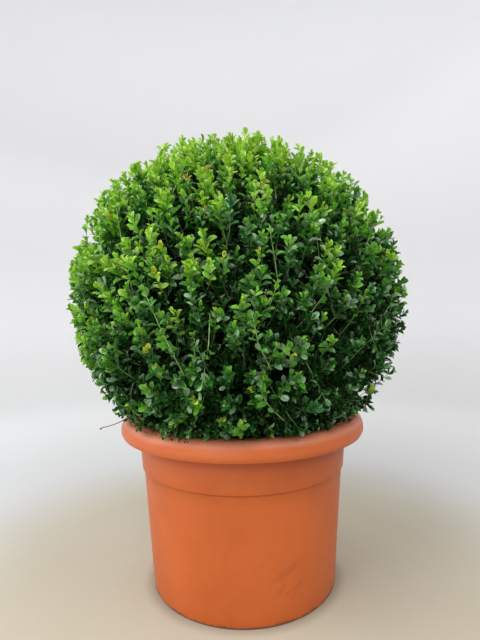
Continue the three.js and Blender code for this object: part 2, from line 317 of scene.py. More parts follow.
def leaf_finish(name, colour, roughness, gloss, glow):
    """A waxy leaf with a paler midrib, faint veins and a tip that is paler, partly as painted sheen. Its tile
    of the leaf map sets its tone.
    """
    finish = Finish(name, Specular_IOR_Level=gloss, Roughness=roughness)
    tiles = finish.node("ShaderNodeUVMap", {"uv_map": LEAF_MAP})
    tiles = finish.vector("MULTIPLY", tiles, (LEAF_TILES, LEAF_TILES, 0))
    corner = finish.vector("FLOOR", tiles)
    inside = finish.vector("SUBTRACT", tiles, corner)
    tone = finish.node("ShaderNodeTexWhiteNoise", {}, {"Vector": corner}, output="Value")
    off_rib = abs(finish.axis(inside, "X") - 0.5)
    rib = finish.stretch(off_rib, 0.075, 0.015)
    along = finish.axis(inside, "Y")
    slant = along * 9.0 - off_rib * 12.0
    vein = slant.math("PINGPONG", slant, 0.5)
    # Paler towards the tip and margins: partly the leaf's own colour, partly painted sheen
    tip = finish.stretch(along + off_rib * 0.9, 0.55, 1.25)
    dark = [0.36 * value for value in colour]
    pale = [1.80 * value for value in colour]
    rib_colour = [0.55 * value + 0.45 * lime for value, lime in zip(colour, (0.22, 0.40, 0.08))]
    tip_colour_and_sheen = [1.5 * value + 0.03 for value in colour]
    skin = finish.mix(tip * 0.45, finish.mix(tone, dark, pale), tip_colour_and_sheen)
    finish.set("Base Color", finish.mix(rib * (0.75 if glow > DARK_GLOW else 0.4), skin, rib_colour))
    finish.set("Normal", finish.bump(vein * 0.3 - rib, 0.0003, 0.5))
    finish.let_light_through(glow, (0.9 * colour[0], 1.15 * colour[1], 0.5 * colour[2]))
    return finish.material


def shoot_finish(name, colour, second):
    """Smooth young bark with a change of tone along the twigs."""
    finish = Finish(name, Specular_IOR_Level=0.4)
    tone = finish.stretch(finish.noise(0.02, 3.0), 0.35, 0.65)
    finish.set("Base Color", finish.mix(tone, colour, second))
    finish.set("Roughness", 0.5 + 0.2 * tone)
    finish.set("Normal", finish.bump(finish.noise(0.0012, 3.0), 0.0003))
    return finish.material


def floor_finish():
    """A warm pale floor that fades into a paler wall."""
    finish = Finish("pale_studio", Specular_IOR_Level=0.2)
    distance = finish.vector("LENGTH", finish.place(), output="Value")
    away = finish.stretch(distance, 0.40, 0.85)
    broad = finish.noise(0.5, 4.0)
    near = finish.mix(broad, (0.34, 0.305, 0.235), (0.40, 0.365, 0.29))
    # Painted contact shadow: the floor is darker round the pot's foot
    painted_shadow_by_pot = finish.stretch(distance, BASE_RADIUS + 0.025, BASE_RADIUS)
    near = finish.mix(painted_shadow_by_pot * 0.6, near, (0.22, 0.18, 0.13))
    height = finish.axis(finish.place(), "Z")
    far = finish.mix(finish.stretch(distance, 0.8, 1.8), (0.46, 0.46, 0.46), (0.57, 0.57, 0.57))
    far = finish.mix(finish.stretch(height, 0.0, 0.5), far, (0.65, 0.65, 0.66))
    far = finish.mix(finish.stretch(height, 0.9, 3.2), far, (0.92, 0.92, 0.93))
    finish.set("Base Color", finish.mix(away, near, far))
    finish.set("Roughness", 0.8)
    return finish.material


# Making of pieces


def finished(piece, material, slot, *nodes):
    """Dresses a piece, hangs it on the root and hides the CAD parts that it stands in for."""
    piece.data.materials.clear()
    piece.data.materials.append(material)
    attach(piece, "root")
    if nodes:
        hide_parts(*nodes)
    return piece


def nothing_selected():
    bpy.ops.object.select_all(action="DESELECT")


def arc(centre_radius, centre_height, radius, start, end, steps):
    """Points of a round arc in the plane of radius and height."""
    angles = [start + (end - start) * i / steps for i in range(steps + 1)]
    return [
        (centre_radius + radius * math.cos(angle), centre_height + radius * math.sin(angle))
        for angle in angles
    ]


def turned(name, profile, segments, closed=True):
    """A round shape whose rings are extruded one after the other from a flat round blank."""
    nothing_selected()
    radius, height = profile[0]
    bpy.ops.mesh.primitive_circle_add(
        vertices=segments, radius=radius, fill_type="NGON", location=(0, 0, 0)
    )
    piece = bpy.context.object
    piece.name = name
    bpy.ops.object.mode_set(mode="EDIT")
    bpy.ops.mesh.select_mode(type="EDGE")
    bpy.ops.mesh.select_all(action="SELECT")
    bpy.ops.transform.translate(value=(0, 0, height))
    for next_radius, next_height in profile[1:]:
        bpy.ops.mesh.extrude_edges_move(
            TRANSFORM_OT_translate={"value": (0, 0, next_height - height)}
        )
        share = next_radius / radius
        bpy.ops.transform.resize(value=(share, share, 1), center_override=(0, 0, next_height))
        radius, height = next_radius, next_height
    if closed:
        bpy.ops.mesh.edge_face_add()
        bpy.ops.mesh.select_all(action="SELECT")
        bpy.ops.mesh.normals_make_consistent(inside=False)
    bpy.ops.object.mode_set(mode="OBJECT")
    return piece


def smooth_by_angle(piece, degrees):
    nothing_selected()
    piece.select_set(True)
    bpy.context.view_layer.objects.active = piece
    bpy.ops.object.shade_smooth_by_angle(angle=math.radians(degrees))


def joined_mesh(name, vertices, faces, smooth=False):
    """One mesh from an array of points and one of faces that all have the same number of corners."""
    mesh = bpy.data.meshes.new(name)
    corners = faces.shape[1]
    mesh.vertices.add(len(vertices))
    mesh.vertices.foreach_set("co", np.ascontiguousarray(vertices, np.float32).ravel())
    mesh.loops.add(faces.size)
    mesh.loops.foreach_set("vertex_index", np.ascontiguousarray(faces, np.int32).ravel())
    mesh.polygons.add(len(faces))
    mesh.polygons.foreach_set("loop_start", np.arange(0, faces.size, corners, dtype=np.int32))
    mesh.polygons.foreach_set("use_smooth", np.full(len(faces), smooth))
    mesh.update(calc_edges=True)
    mesh.validate()
    piece = bpy.data.objects.new(name, mesh)
    bpy.context.scene.collection.objects.link(piece)
    return piece


def pattern_of(piece):
    """A modelled piece as arrays of points and triangles, and the piece itself taken away."""
    mesh = piece.data
    mesh.calc_loop_triangles()
    points = np.array([vertex.co for vertex in mesh.vertices])
    triangles = np.array([triangle.vertices for triangle in mesh.loop_triangles])
    bpy.data.objects.remove(piece)
    return points, triangles


def copies(pattern, axes, places):
    """Copies of a pattern: axes hold each copy's three scaled directions as rows."""
    points, triangles = pattern
    vertices = np.einsum("pk,nkc->npc", points, axes) + places[:, None, :]
    steps = len(points) * np.arange(len(places))
    faces = triangles[None, :, :] + steps[:, None, None]
    return vertices.reshape(-1, 3), faces.reshape(-1, 3)


def together(*parts):
    """Several arrays of points and triangles as one."""
    vertices = np.concatenate([part[0] for part in parts])
    shifts = np.cumsum([0] + [len(part[0]) for part in parts[:-1]])
    faces = np.concatenate([part[1] + shift for part, shift in zip(parts, shifts)])
    return vertices, faces


# Pot


def body_radius(height):
    return BASE_RADIUS + (BODY_TOP_RADIUS - BASE_RADIUS) * height / BODY_HEIGHT


def inner_radius(height):
    if height <= BODY_HEIGHT:
        return body_radius(height) - WALL
    share = (height - BODY_HEIGHT) / (SKIRT_ROOF - BODY_HEIGHT)
    return BODY_TOP_RADIUS + share * (NECK_TOP_RADIUS - BODY_TOP_RADIUS) - WALL


def rim_corner(steps):
    """The rim's squarish upper corner, from its widest level up to its crest."""
    points = []
    for i in range(steps + 1):
        angle = math.pi / 2 * i / steps
        out = math.cos(angle) ** (2 / RIM_SQUARENESS)
        rise = math.sin(angle) ** (2 / RIM_SQUARENESS)
        radius = RIM_CREST_RADIUS + out * (RIM_RADIUS - RIM_CREST_RADIUS)
        points.append((radius, RIM_WIDEST_HEIGHT + rise * (POT_HEIGHT - RIM_WIDEST_HEIGHT)))
    return points


def rim_surface(radius):
    """Height of the rim's upper surface at a distance from the pot's axis."""
    across = np.clip((radius - RIM_CREST_RADIUS) / (RIM_RADIUS - RIM_CREST_RADIUS), 0, 1)
    rise = (1 - across ** RIM_SQUARENESS) ** (1 / RIM_SQUARENESS)
    return RIM_WIDEST_HEIGHT + rise * (POT_HEIGHT - RIM_WIDEST_HEIGHT)


def pot_profile():
    """The pot's section, from under its floor round the outside to its inner floor."""
    quarter = math.pi / 2
    fillet = SMALL_FILLET
    step_radius = BODY_TOP_RADIUS + STEP_DEPTH
    points = [(0.06, 0.0), (0.12, 0.0), (0.16, 0.0)]
    points += arc(BASE_RADIUS - FOOT_ROUND, FOOT_ROUND, FOOT_ROUND, -quarter, 0, 4)
    points += [(body_radius(BODY_HEIGHT * i / 10), BODY_HEIGHT * i / 10) for i in range(1, 10)]
    points += [
        (BODY_TOP_RADIUS, BODY_HEIGHT - fillet),
        (BODY_TOP_RADIUS + fillet, BODY_HEIGHT + fillet / 2),
        (step_radius - fillet, BODY_HEIGHT + STEP_HEIGHT - fillet),
        (step_radius, BODY_HEIGHT + STEP_HEIGHT + fillet),
    ]
    for share in (0.25, 0.5, 0.75):
        height = BODY_HEIGHT + STEP_HEIGHT + share * (SKIRT_ROOF - BODY_HEIGHT - STEP_HEIGHT)
        points.append((step_radius + share * (NECK_TOP_RADIUS - step_radius), height))
    points += [
        (NECK_TOP_RADIUS, SKIRT_ROOF - 2 * fillet),
        (NECK_TOP_RADIUS + 2 * fillet, SKIRT_ROOF),
        (SKIRT_INNER_RADIUS - 2 * fillet, SKIRT_ROOF),
        (SKIRT_INNER_RADIUS, SKIRT_ROOF - 2 * fillet),
    ]
    lip_radius = SKIRT_INNER_RADIUS + LIP_ROUND
    points += arc(lip_radius, SKIRT_BOTTOM + LIP_ROUND, LIP_ROUND, -math.pi, -math.pi / 3, 6)
    points += rim_corner(18)
    mouth = MOUTH_RADIUS + MOUTH_ROUND
    points += arc(mouth, POT_HEIGHT - MOUTH_ROUND, MOUTH_ROUND, quarter, math.pi, 6)
    points += [(inner_radius(level), level) for level in (SOIL_TOP, *reversed(INNER_LEVELS))]
    points += [(radius, FLOOR_THICKNESS) for radius in (inner_radius(FLOOR_THICKNESS), 0.1, 0.03)]
    return points


pot = turned("moulded_pot", pot_profile(), POT_SEGMENTS)
smooth_by_angle(pot, 35)
finished(pot, pot_finish(), "pot_plastic", "pot")


# Compost


def soil_height(x, y):
    """The gently uneven surface, level round the stem."""
    radius = np.hypot(x, y)
    fade = np.clip((radius - SOIL_FLAT_RADIUS) / 0.01, 0, 1)
    return SOIL_TOP + fade * SOIL_WAVE * np.sin(x / 0.027) * np.cos(y / 0.019)


def random_axes(count, low, high):
    """Random turns, each with a size between low and high and some flattening."""
    first = unit(random.normal(size=(count, 3)))
    second = unit(np.cross(first, random.normal(size=(count, 3))))
    third = np.cross(first, second)
    size = low * (high / low) ** random.random(count)
    squeeze = 0.6 + 0.4 * random.random((count, 3))
    axes = np.stack([first, second, third], axis=1)
    return axes * (size[:, None] * squeeze)[:, :, None]


def crumb_pattern():
    """A rough little lump."""
    nothing_selected()
    bpy.ops.mesh.primitive_ico_sphere_add(subdivisions=1, radius=1, location=(0, 0, 0))
    bpy.ops.object.mode_set(mode="EDIT")
    bpy.ops.mesh.select_all(action="SELECT")
    bpy.ops.transform.vertex_random(offset=0.35, seed=SEED)
    bpy.ops.object.mode_set(mode="OBJECT")
    return pattern_of(bpy.context.object)


def soil_profile():
    """The compost's section: it fills the pot, and its top is many rings that can be roughened."""
    bottom = FLOOR_THICKNESS + SOIL_CLEARANCE
    levels = (bottom, *INNER_LEVELS, SOIL_TOP - SOIL_WAVE)
    points = [(0.06, bottom)]
    points += [(inner_radius(level) - SOIL_CLEARANCE, level) for level in levels]
    edge = inner_radius(SOIL_TOP) - 2 * SOIL_CLEARANCE
    return points + [(edge * (1 - i / SOIL_RINGS), SOIL_TOP) for i in range(SOIL_RINGS)]


soil = turned("compost", soil_profile(), 128)
for vertex in soil.data.vertices:
    if vertex.co.z > SOIL_TOP - 0.5 * SOIL_WAVE:
        x, y, z = vertex.co
        rough = noise.fractal(Vector((x, y, 0)) * 60, 0.8, 2.1, 4)
        fade = min(1.0, max(0.0, (math.hypot(x, y) - 0.036) / 0.01))
        vertex.co.z = soil_height(x, y) + fade * SOIL_ROUGHNESS * rough
smooth_by_angle(soil, 60)
compost = soil_finish()
finished(soil, compost, "compost", "potting_soil")

crumb = crumb_pattern()


def crumb_piece(name, x, y, z, sizes):
    """Crumbs of compost joined into one piece."""
    axes = random_axes(len(x), *sizes)
    piece = joined_mesh(name, *copies(crumb, axes, np.stack([x, y, z], axis=1)))
    finished(piece, compost, "compost", "potting_soil")


radius = (inner_radius(SOIL_TOP) - 0.005) * np.sqrt(random.random(CRUMBS) * 0.95 + 0.05)
angle = 2 * math.pi * random.random(CRUMBS)
x, y = radius * np.cos(angle), radius * np.sin(angle)
crumb_piece("compost_crumbs", x, y, soil_height(x, y), CRUMB_SIZES)

# Crumbs that lie on the rim, most of them at the left of the front
near_spread, far_spread = RIM_CRUMB_SPREADS
angle_spread = np.where(random.random(RIM_CRUMBS) < 0.75, near_spread, far_spread)
angle = np.radians(RIM_CRUMB_ANGLE + angle_spread * random.normal(size=RIM_CRUMBS))
radius = RIM_CRUMB_RING[0] + RIM_CRUMB_RING[1] * random.random(RIM_CRUMBS) ** 1.2
height = rim_surface(radius) + 0.0003
crumb_piece("rim_crumbs", radius * np.cos(angle), radius * np.sin(angle), height, RIM_CRUMB_SIZES)


# Stem and limbs


def tubes(paths, radii, sides, relief=0.0):
    """Tapering limbs round paths, an array of limbs by points by three, with closed ends."""
    count, steps = paths.shape[:2]
    headings = unit(np.gradient(paths, axis=1))
    helper = np.where(np.abs(headings[:, :1, 2:]) < 0.9, [[[0, 0, 1.0]]], [[[1.0, 0, 0]]])
    first = unit(np.cross(headings, np.broadcast_to(helper, headings.shape)))
    second = np.cross(headings, first)
    angles = 2 * math.pi * np.arange(sides) / sides
    ring = first[:, :, None, :] * np.cos(angles)[:, None] + second[:, :, None, :] * np.sin(angles)[:, None]
    swell = radii[:, :, None, None]
    if relief:
        along = np.arange(steps)[:, None] / steps
        rough = np.sin(5 * angles + 9 * along) + 0.6 * np.sin(11 * angles - 4 * along + 1.0)
        swell = swell * (1 + relief * rough[None, :, :, None])
    vertices = paths[:, :, None, :] + ring * swell
    base = np.arange(count * steps).reshape(count, steps) * sides
    here, after = base[:, :-1, None], base[:, 1:, None]
    turn = np.arange(sides)
    following = (turn + 1) % sides
    quads = np.stack([here + turn, here + following, after + following, after + turn], axis=-1)
    quads = quads.reshape(-1, 4)
    triangles = np.concatenate([quads[:, [0, 1, 2]], quads[:, [0, 2, 3]]])
    fan = np.stack([np.zeros(sides - 2, int), turn[2:], turn[1:-1]], axis=1)
    starts = base[:, 0, None, None] + fan
    ends = base[:, -1, None, None] + fan[:, ::-1]
    caps = np.concatenate([starts.reshape(-1, 3), ends.reshape(-1, 3)])
    return vertices.reshape(-1, 3), np.concatenate([triangles, caps])


def bend(start, middle, end, steps):
    """Points on smooth curves from start to end that lean towards the middle."""
    share = np.linspace(0, 1, steps)[None, :, None]
    start, middle, end = (points[:, None, :] for points in (start, middle, end))
    return (1 - share) ** 2 * start + 2 * share * (1 - share) * middle + share ** 2 * end


def tapers(count, steps, radii):
    return np.repeat(np.linspace(*radii, steps)[None, :], count, axis=0)


def shared_directions(count, lowest):
    """Evenly shared directions from straight up down to the given height on a unit ball."""
    order = np.arange(count)
    z = 1 - (1 - lowest) * (order + 0.5) / count
    across = np.sqrt(1 - z * z)
    angle = order * GOLDEN_ANGLE
    return np.stack([across * np.cos(angle), across * np.sin(angle), z], axis=1)


def nearest(points, candidates):
    """For each point, the nearest of the candidates."""
    gaps = (points ** 2).sum(1)[:, None] + (candidates ** 2).sum(1)[None, :] - 2 * points @ candidates.T
    return candidates[gaps.argmin(axis=1)]


def limbs(order, roots):
    """Starts, middles and ends of one order of limbs. Each grows from the nearest root."""
    directions = shared_directions(order.count, order.lowest)
    ends = BALL_CENTRE + directions * BALL_RADIUS * order.reach
    starts = nearest(ends, roots)
    middles = (starts + ends) / 2 + spread(order.sag, order.count, 3)
    return starts, middles, ends


def limb_tubes(order, lines):
    radii = tapers(order.count, order.steps, order.radii)
    return tubes(bend(*lines, order.steps), radii, order.sides, order.relief)


def bark_piece(name, bark, *meshes):
    """Limbs or twigs joined into one piece."""
    return finished(joined_mesh(name, *together(*meshes), smooth=True), bark, "bark", "foliage_ball")


def stem_radius(share, angle):
    flare = STEM_FLARE * (1 - share) ** 4
    return STEM_RADIUS + share * (STEM_TIP_RADIUS - STEM_RADIUS) + flare * (1 + 0.35 * math.cos(5 * angle))


def bark_relief(x, y, z):
    """Furrows that run up the stem."""
    return noise.fractal(Vector((x * 170, y * 170, z * 45)), 0.9, 2.0, 4)


def stem_blank():
    """An upright round bar, cut into short lengths."""
    nothing_selected()
    bpy.ops.mesh.primitive_cylinder_add(
        vertices=96, radius=1, depth=1, end_fill_type="TRIFAN", location=(0, 0, 0)
    )
    bpy.ops.object.mode_set(mode="EDIT")
    for cut in range(1, STEM_CUTS):
        bpy.ops.mesh.select_all(action="SELECT")
        bpy.ops.mesh.bisect(plane_co=(0, 0, cut / STEM_CUTS - 0.5), plane_no=(0, 0, 1))
    bpy.ops.object.mode_set(mode="OBJECT")
    return bpy.context.object


stem = stem_blank()
stem.name = "bark_stem"
for vertex in stem.data.vertices:
    share = vertex.co.z + 0.5
    angle = math.atan2(vertex.co.y, vertex.co.x)
    centre = STEM_FOOT.lerp(STEM_TIP, share)
    across = Vector((vertex.co.x, vertex.co.y, 0))
    if across.length > 0.5:
        reach = stem_radius(share, angle)
        reach += STEM_RELIEF * bark_relief(across.x * reach, across.y * reach, centre.z)
        across = across.normalized() * reach
    vertex.co = centre + across
smooth_by_angle(stem, 50)
stem_bark = bark_finish("stem_bark", (0.10, 0.075, 0.045), (0.30, 0.25, 0.17), 0.006)
finished(stem, stem_bark, "bark", "main_stem")

trunk_foot = np.array([[STEM_TIP.x, STEM_TIP.y, STEM_TIP.z + 0.0003]])
trunk_path = bend(trunk_foot, TRUNK_MIDDLE, FORK_POINT[None, :], TRUNK_STEPS)
trunk = tubes(trunk_path, tapers(1, TRUNK_STEPS, (STEM_TIP_RADIUS, TRUNK_TIP_RADIUS)), 24, 0.035)
bough_lines = limbs(BOUGHS, FORK_POINT[None, :])
bough_lines[1][:, 2] += BOUGH_LIFT
branch_lines = limbs(BRANCHES, bough_lines[2])
twig_lines = limbs(TWIGS, branch_lines[2])
twig_ends = twig_lines[2]
limb_bark = bark_finish("limb_bark", (0.085, 0.07, 0.045), (0.24, 0.21, 0.14), 0.003)
bark_piece("boughs", limb_bark, trunk, limb_tubes(BOUGHS, bough_lines), limb_tubes(BRANCHES, branch_lines))


# Growth of the shoots

# Parts of the ball that are clipped flatter or left fuller: a heading from the centre and how much is off
FLATS = [
    ((-0.85, -0.30, -0.45), 0.006),
    ((0.88, -0.25, -0.38), -0.005),
    ((0.70, -0.20, 0.70), 0.003),
    ((0.35, -0.10, 0.93), 0.004),
]
FLAT_EDGE = 0.82

# Dark gaps between the sprays at the front: place on the ball and radius
HOLLOWS = [
    ((0.058, -0.262, 0.712), 0.017),
    ((0.060, -0.275, 0.680), 0.016),
    ((0.112, -0.262, 0.686), 0.015),
    ((0.092, -0.303, 0.600), 0.022),
    ((0.168, -0.258, 0.600), 0.018),
    ((-0.055, -0.300, 0.665), 0.015),
    ((-0.100, -0.300, 0.565), 0.020),
    ((0.020, -0.317, 0.600), 0.016),
    ((0.045, -0.312, 0.520), 0.020),
    ((-0.060, -0.305, 0.490), 0.018),
    ((0.000, -0.310, 0.465), 0.020),
    ((0.110, -0.290, 0.500), 0.018),
    ((-0.150, -0.255, 0.450), 0.018),
    ((0.150, -0.255, 0.455), 0.016),
]
HOLLOW_DEPTH = 0.045

# A small see-through gap low at the right: a point on its middle line and the line's heading
GAP_POINT = np.array([0.2192, -0.0908, 0.3776])
GAP_HEADING = np.array([0.2441, 0.9532, -0.1782])
GAP_RADIUS = 0.0065


def is_clear(points, room=LEAF_CLEARANCE):
    """Whether points stay off the pot, the compost and the stem, and out of the see-through gap."""
    radius = np.hypot(points[..., 0], points[..., 1])
    height = points[..., 2]
    by_stem = (radius >= STEM_ROOM) | (height > STEM_HOLLOW_TOP)
    over_soil = (radius >= MOUTH_RADIUS - room) | (height > SOIL_TOP + SOIL_WAVE + 0.003)
    on_rim = (radius < MOUTH_RADIUS - room) | (radius > RIM_RADIUS + room)
    from_line = np.linalg.norm(np.cross(points - GAP_POINT, GAP_HEADING), axis=-1)
    return by_stem & over_soil & (on_rim | (height > rim_surface(radius) + room)) & (from_line > GAP_RADIUS)


def ends_clear(shoots):
    """Which shoots are clear at their tip and a little below it."""
    return is_clear(shoots[:, -1]) & is_clear(shoots[:, -3])


def lump(directions):
    """Broad shallow lumps of the clipped surface, between -1 and 1."""
    x, y, z = directions.T
    broad = np.sin(5.1 * x + 1.3) * np.cos(4.3 * y - 0.4)
    fine = np.sin(9.7 * z + 2.2 * x) * np.cos(8.3 * y + 0.9)
    return 0.6 * broad + 0.4 * fine


def surface_reach(directions):
    """How far the clipped surface is from the ball's centre."""
    reach = BALL_RADIUS - TIP_SHORTFALL + BALL_ROUGHNESS * lump(directions)
    for heading, depth in FLATS:
        towards = np.clip((directions @ unit(np.array(heading)) - FLAT_EDGE) / (1 - FLAT_EDGE), 0, 1)
        reach = reach - depth * towards * towards * (3 - 2 * towards)
    return reach


def clouds(directions, size, shift):
    """Smooth noise on the ball, about -1 to 1, with patches of the given size in metres."""
    scale = BALL_RADIUS / size
    return np.array([noise.noise(Vector(row) * scale + Vector((shift, 0, 0))) for row in directions]) * 1.6


def hollow_depths(directions, share):
    """How far shoots stay back from the surface in the gaps between the sprays."""
    depth = share * HOLLOW_DEPTH * np.clip((clouds(directions, 0.034, 3.0) - 0.03) * 2.6, 0, 1)
    places = BALL_CENTRE + directions * BALL_RADIUS
    for centre, radius in HOLLOWS:
        distance = np.linalg.norm(places - centre, axis=1)
        depth = np.where(distance < radius, HOLLOW_DEPTH, depth)
    return depth


def scattered(count, lowest, jitter):
    """Shared directions, each moved a little by chance."""
    directions = shared_directions(count, lowest) + spread(jitter / math.sqrt(count), count, 3)
    return unit(directions)


def grow(tips, headings, lengths, directions):
    """Paths of shoots from the nearest twigs up to their tips."""
    middles = tips - headings * (0.62 * lengths)[:, None]
    wanted = middles - 0.4 * lengths[:, None] * unit(directions + 0.3 * headings)
    return bend(nearest(wanted, twig_ends), middles, tips, SHOOT_STEPS)


def between(count, limits):
    return limits[0] + (limits[1] - limits[0]) * random.random(count)


def layer_shoots(count, lowest, depth, upturn, length, hollows, pull):
    """A layer of shoots whose tips lie on the clipped surface or below it."""
    directions = scattered(count, lowest, 1.3)
    directions = unit(directions + pull * (nearest(directions, clump_directions) - directions))
    hidden = hollow_depths(directions, hollows)
    reach = surface_reach(directions) + spread(0.003, count) - between(count, depth) - hidden
    tips = BALL_CENTRE + directions * reach[:, None]
    lift = upturn * np.clip((tips[:, 2] - 0.34) / 0.08, 0, 1)
    headings = unit(directions + lift[:, None] * UP + spread(0.28, count, 3))
    return directions, grow(tips, headings, between(count, length), directions), hidden


def long_shoots(count):
    """Long bare-footed shoots that run up over the surface, some of the low ones drooping."""
    directions = scattered(count, -0.74, 1.6)
    tips = BALL_CENTRE + directions * (surface_reach(directions) + spread(0.003, count))[:, None]
    rise = np.where((directions[:, 2] < -0.1) & (random.random(count) < 0.3), -0.6, 1.0)
    along = UP - directions[:, 2:] * directions
    headings = unit(0.45 * directions + rise[:, None] * along + spread(0.35, count, 3))
    lengths = between(count, (0.07, 0.12))
    middles = tips - headings * (0.5 * lengths)[:, None]
    inward = middles - BALL_CENTRE
    out = np.linalg.norm(inward, axis=1)
    room = surface_reach(unit(inward)) - 0.005
    middles = BALL_CENTRE + inward * (np.minimum(out, room) / out)[:, None]
    wanted = middles - headings * (0.5 * lengths)[:, None] - 0.02 * directions
    return directions, bend(nearest(wanted, twig_ends), middles, tips, SHOOT_STEPS)


def fringe_shoots(count):
    """Short shoots all round that hang out over the rim."""
    angles = 2 * math.pi * (np.arange(count) + random.random(count)) / count
    radius = between(count, (0.194, 0.226))
    outward = np.stack([np.cos(angles), np.sin(angles), np.zeros(count)], axis=1)
    tips = outward * radius[:, None] + UP * (rim_surface(radius) + between(count, (0.004, 0.017)))[:, None]
    directions = unit(tips - BALL_CENTRE)
    headings = unit(outward + spread(0.6, count, 3) - 0.15 * UP)
    middles = tips - headings * between(count, (0.018, 0.030))[:, None]
    wanted = middles - 0.02 * outward + 0.03 * UP
    return directions, bend(nearest(wanted, twig_ends), middles, tips, SHOOT_STEPS)


# Leaves


# Outlines of a leaf, by row from its foot to its tip: how far along, the width and the height.
# The plainer one is for leaves in the shade.
LEAF_ROWS = [(0, 0, 0), (0.25, 0.62, 0.03), (0.56, 1, 0.05), (0.86, 0.76, 0.02), (1, 0.26, -0.035)]
PLAIN_ROWS = [(0, 0, 0), (0.38, 0.92, 0.045), (0.80, 0.80, 0.02), (1, 0, -0.035)]
LEAF_FOLD = 0.17


def leaf_pattern(outline):
    """One leaf, a unit long and a unit wide, folded along its rib and cupped."""
    nothing_selected()
    last = len(outline) - 1
    bpy.ops.mesh.primitive_grid_add(x_subdivisions=2, y_subdivisions=last, size=1, location=(0, 0, 0))
    leaf = bpy.context.object
    for vertex in leaf.data.vertices:
        along, width, height = outline[round((vertex.co.y + 0.5) * last)]
        side = abs(vertex.co.x) > 0.1
        vertex.co.x = math.copysign(width / 2, vertex.co.x) if side else 0.0
        vertex.co.y = along
        vertex.co.z = height + (LEAF_FOLD * width if side else 0.0)
    bpy.ops.object.mode_set(mode="EDIT")
    bpy.ops.mesh.select_all(action="SELECT")
    bpy.ops.mesh.remove_doubles(threshold=0.001)
    bpy.ops.object.mode_set(mode="OBJECT")
    return pattern_of(leaf)


leaf_shape = leaf_pattern(LEAF_ROWS)
plain_leaf_shape = leaf_pattern(PLAIN_ROWS)


def along_paths(paths, shares):
    """Points and headings at a share of each path, by its steps."""
    at = np.clip(shares, 0, 1) * (paths.shape[1] - 1)
    low = np.minimum(at.astype(int), paths.shape[1] - 2)
    rest = (at - low)[:, None]
    rows = np.arange(len(paths))
    first, second = paths[rows, low], paths[rows, low + 1]
    return first + rest * (second - first), unit(second - first)


# Distances of the leaf pairs from a shoot's tip, and the share of its full size that each has grown to
PAIR_DISTANCES = (0.0007, 0.0045, 0.0098, 0.0165, 0.0245, 0.0335)
LONG_PAIR_DISTANCES = (0.0008, 0.005, 0.012, 0.022, 0.034, 0.048, 0.064)
GROWN = (0.62, 0.88, 1.0)
TIP_OPENING = 0.34
FULL_OPENING = 0.98


def leaves_on(shoots, directions, distances, size, lost=0.05):
    """Opposite pairs of leaves from each shoot's tip downwards.

    Returns the places, the axes, each leaf's shoot and its pair's number from the tip.
    """
    count = len(shoots)
    lengths = np.linalg.norm(np.diff(shoots, axis=1), axis=2).sum(1)
    turn = 2 * math.pi * random.random(count)
    vigour = 1 + spread(0.26, count)
    found = []
    for pair, distance in enumerate(distances):
        share = 1 - distance * (1 + spread(0.12, count)) / lengths
        roots, headings = along_paths(shoots, share)
        helper = unit(np.cross(headings, np.cross(UP + 0.01, headings)))
        side = np.cross(headings, helper)
        grown = GROWN[min(pair, len(GROWN) - 1)]
        age = min(1.0, pair / 2.4)
        for opposite in (0, math.pi):
            azimuth = turn + pair * math.pi / 2 + opposite + spread(0.4, count)
            outward = np.cos(azimuth)[:, None] * helper + np.sin(azimuth)[:, None] * side
            opening = TIP_OPENING + (FULL_OPENING - TIP_OPENING) * age + spread(0.28, count)
            along = unit(np.cos(opening)[:, None] * headings + np.sin(opening)[:, None] * outward)
            along = unit(along + spread(0.25, count, 3))
            face = headings + 0.50 * directions + 0.20 * UP + spread(0.55, count, 3)
            face = unit(face - (face * along).sum(1)[:, None] * along)
            length = size * grown * vigour * (1 + spread(0.16, count))
            width = length * LEAF_WIDTH * (1 + spread(0.18, count))
            cup = length * (1 + spread(0.8, count))
            across = np.cross(along, face)
            axes = np.stack(
                [across * width[:, None], along * length[:, None], face * cup[:, None]], axis=1
            )
            keep = (share > 0.12) & (random.random(count) > lost)
            for reach, aside in ((0, 0), (1, 0), (0.5, 0.5), (0.5, -0.5)):
                keep &= is_clear(roots + reach * axes[:, 1] + aside * axes[:, 0])
            rows = np.flatnonzero(keep)
            found.append((roots[rows], axes[rows], rows, np.full(len(rows), pair)))
    return [np.concatenate(parts) for parts in zip(*found)]


# The darkest tints, shade and hidden, are partly painted shade; sheen is partly a painted reflection.
# Leaf tints from the oldest, most shaded green to the youngest, then the odd ones:
# name, base colour, roughness, specular level and the share of light that passes through
TINTS = [
    ("shade", (0.0012, 0.026, 0.0014), 0.32, 0.06, 0.06),
    ("deep", (0.0055, 0.058, 0.0050), 0.26, 0.28, 0.10),
    ("full", (0.0160, 0.107, 0.0080), 0.26, 0.50, 0.16),
    ("green", (0.039, 0.164, 0.012), 0.29, 0.56, 0.22),
    ("bright", (0.079, 0.255, 0.014), 0.31, 0.55, 0.28),
    ("fresh", (0.148, 0.342, 0.023), 0.32, 0.55, 0.33),
    ("lime", (0.250, 0.425, 0.035), 0.33, 0.55, 0.36),
    ("sheen", (0.115, 0.215, 0.102), 0.29, 0.75, 0.06),
    ("gold", (0.32, 0.36, 0.020), 0.40, 0.4, 0.33),
    ("rust", (0.23, 0.20, 0.018), 0.45, 0.35, 0.22),
    ("teal", (0.024, 0.12, 0.036), 0.28, 0.5, 0.10),
    ("hidden", (0.0015, 0.009, 0.0015), 0.50, 0.1, 0.04),
]
DARK_GLOW = 0.2
TINT_NAMES = [tint[0] for tint in TINTS]
YOUTH_AND_LIGHT_LIMITS = (0.0, 0.15, 0.29, 0.43, 0.57, 0.72)
TIP_YOUTH = 0.08

leaf_sets = []


